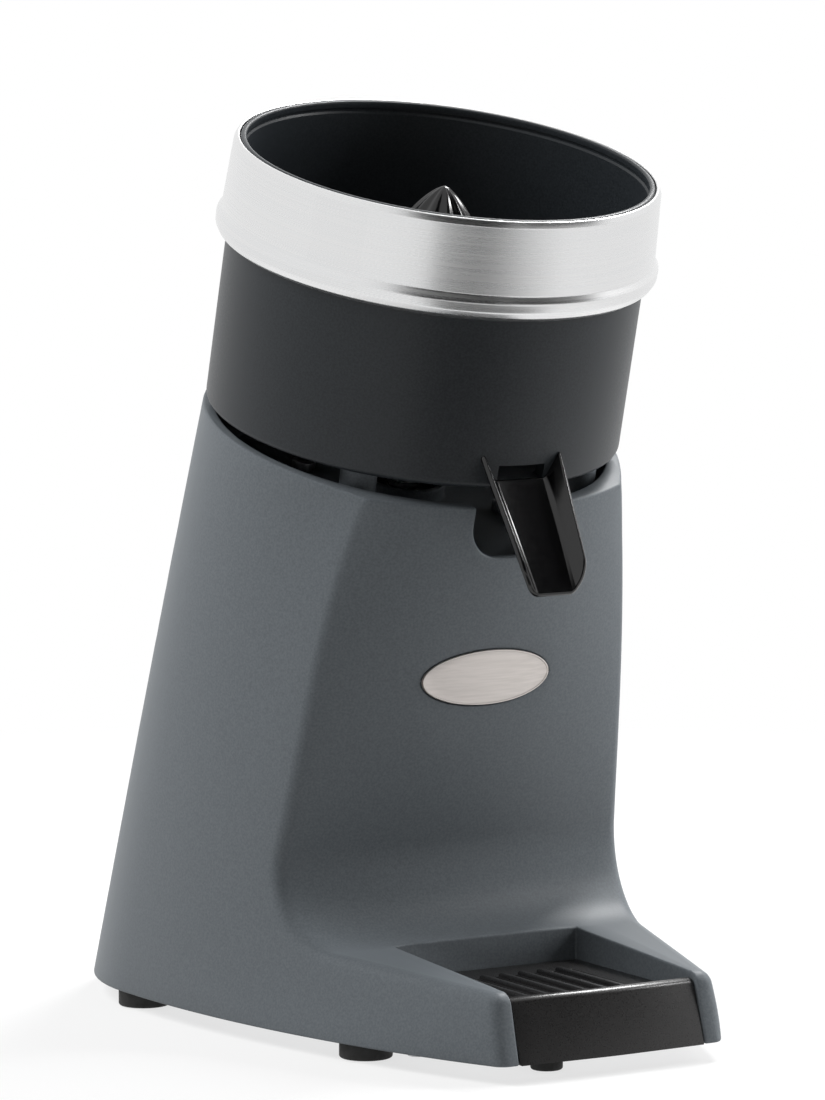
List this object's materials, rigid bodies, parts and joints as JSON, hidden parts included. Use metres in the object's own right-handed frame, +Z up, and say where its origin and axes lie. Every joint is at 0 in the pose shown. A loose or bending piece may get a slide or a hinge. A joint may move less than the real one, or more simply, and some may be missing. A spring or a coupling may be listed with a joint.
{
  "type": "electric citrus juicer",
  "caption": "Motor-driven citrus juicer: leaning painted body, lift-off bowl with a metal band and open spout, ribbed reamer, strainer and pull-out drip tray",
  "frame": {"origin": "on the bench under the middle of the footprint", "axes": "+Z up, -Y towards the spout and drip tray, +X to the side with the switch"},
  "size_m": [0.188, 0.298, 0.35],
  "materials": {
    "grey_paint": "fine textured metallic grey paint on an aluminium casting",
    "badge_metal": "satin champagne anodised plate, left blank",
    "zinc_sheet": "zinc plated sheet",
    "zinc_screw": "zinc plated steel",
    "black_rubber": "matt black rubber",
    "cast_alloy": "as-cast aluminium",
    "bearing_steel": "ground steel",
    "lamination": "stacked lamination steel, varnished",
    "winding_copper": "varnished copper wire",
    "black_plastic": "matt moulded black plastic",
    "pale_plastic": "natural moulded plastic",
    "capacitor_can": "moulded pale grey can",
    "satin_black": "satin moulded black plastic",
    "gloss_black": "gloss moulded black plastic",
    "satin_band": "spun band with a fine satin brush",
    "strainer_steel": "stamped stainless sheet",
    "tray_black": "moulded black plastic with a fine grain"
  },
  "bodies": {
    "housing": {"body_casting": "grey_paint", "name_badge": "badge_metal", "base_plate": "zinc_sheet", "base_screws": "zinc_screw", "rubber_feet": "black_rubber", "seat_pads": "black_rubber", "shaft_seal": "black_rubber", "upper_end_bell": "cast_alloy", "lower_end_bell": "cast_alloy", "upper_bearing": "bearing_steel", "lower_bearing": "bearing_steel", "stator_core": "lamination", "stator_winding": "winding_copper", "through_bolts": "zinc_screw", "mount_screws": "zinc_screw", "switch_housing": "black_plastic", "cable_gland": "black_plastic", "gland_nut": "black_plastic", "run_capacitor": "capacitor_can", "capacitor_clip": "zinc_sheet", "terminal_block": "pale_plastic"},
    "drive": {"motor_shaft": "bearing_steel", "rotor_core": "lamination", "rotor_cage": "cast_alloy", "cooling_fan": "black_plastic", "fan_clip": "bearing_steel", "shaft_flinger": "black_rubber", "drive_pin": "bearing_steel"},
    "bowl": {"juice_bowl": "satin_black", "pouring_spout": "gloss_black", "splash_band": "satin_band", "hub_bush": "pale_plastic"},
    "hub": {"reamer_hub": "pale_plastic"},
    "reamer": {"reamer_cone": "gloss_black"},
    "strainer": {"pulp_strainer": "strainer_steel"},
    "tray": {"drip_tray": "tray_black", "drip_grid": "tray_black"},
    "rocker": {"switch_rocker": "black_plastic"}
  },
  "joints": [
    {"name": "motor_spin", "type": "hinge", "parent": "housing", "child": "drive", "pos_m": [0, -0.0051, 0.2295], "axis": [0, -0.2554, 0.9668], "continuous": true},
    {"name": "bowl_lift", "type": "slide", "parent": "housing", "child": "bowl", "axis": [0, -0.2554, 0.9668], "range_m": [0, 0.12]},
    {"name": "hub_spin", "type": "hinge", "parent": "bowl", "child": "hub", "pos_m": [0, -0.0051, 0.2295], "axis": [0, -0.2554, 0.9668], "continuous": true},
    {"name": "reamer_lift", "type": "slide", "parent": "hub", "child": "reamer", "axis": [0, -0.2554, 0.9668], "range_m": [0, 0.08]},
    {"name": "strainer_lift", "type": "slide", "parent": "bowl", "child": "strainer", "axis": [0, -0.2554, 0.9668], "range_m": [0, 0.09]},
    {"name": "tray_pull", "type": "slide", "parent": "housing", "child": "tray", "axis": [0, -1, 0], "range_m": [0, 0.09]},
    {"name": "rocker_tilt", "type": "hinge", "parent": "housing", "child": "rocker", "pos_m": [0.0845, 0.04, 0.105], "axis": [0, -1, 0], "range_deg": [0, 16]}
  ],
  "couplings": [
    {"joint": "hub_spin", "follows": "motor_spin", "ratio": 1}
  ]
}
